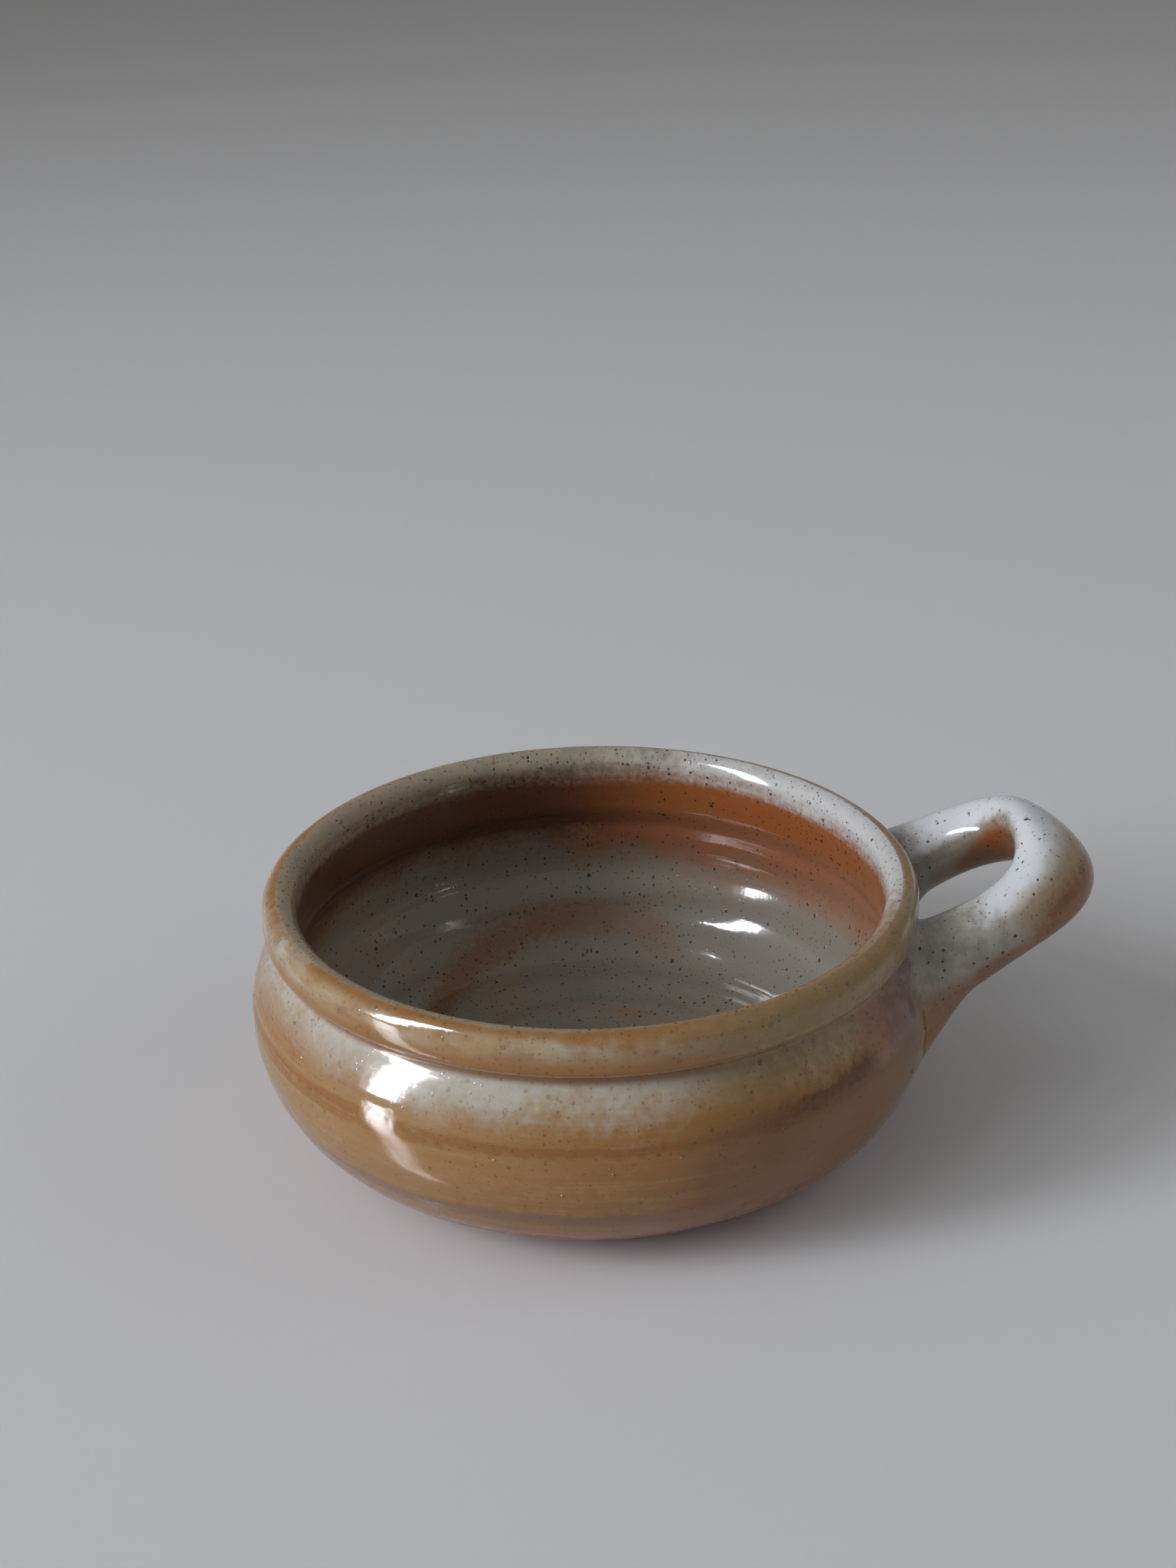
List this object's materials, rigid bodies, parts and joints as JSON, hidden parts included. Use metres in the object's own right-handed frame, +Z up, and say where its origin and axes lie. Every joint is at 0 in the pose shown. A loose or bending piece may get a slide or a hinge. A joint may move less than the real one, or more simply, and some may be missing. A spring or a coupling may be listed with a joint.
{
  "type": "handled ramekin",
  "caption": "Low round-bellied stoneware ramekin with a rolled rim over a neck groove and a pulled ear handle luted to the shoulder, glazed in and out with a bare foot.",
  "frame": {"origin": "centre of the flat foot, on the surface that the ramekin stands on", "axes": "+Z up, out of the mouth; +X from the bowl's middle towards the far end of the ear handle"},
  "size_m": [0.1707, 0.1368, 0.0589],
  "materials": {
    "stoneware": "bare fired stoneware, fine grit, matt",
    "slip": "fired clay slip, matt",
    "liner_glaze": "glossy grey-beige glaze with iron specks and a rust band under the rim",
    "wall_glaze": "glossy glaze, pale on the rim and shoulder, ochre and rust on the belly",
    "handle_glaze": "glossy white glaze with iron specks, breaking to rust on the edges"
  },
  "bodies": {
    "root": {"thrown_bowl": "stoneware", "pulled_handle": "stoneware", "front_luting_slip": "slip", "rear_luting_slip": "slip", "liner_glaze": "liner_glaze", "wall_glaze": "wall_glaze", "handle_glaze": "handle_glaze"}
  },
  "joints": []
}
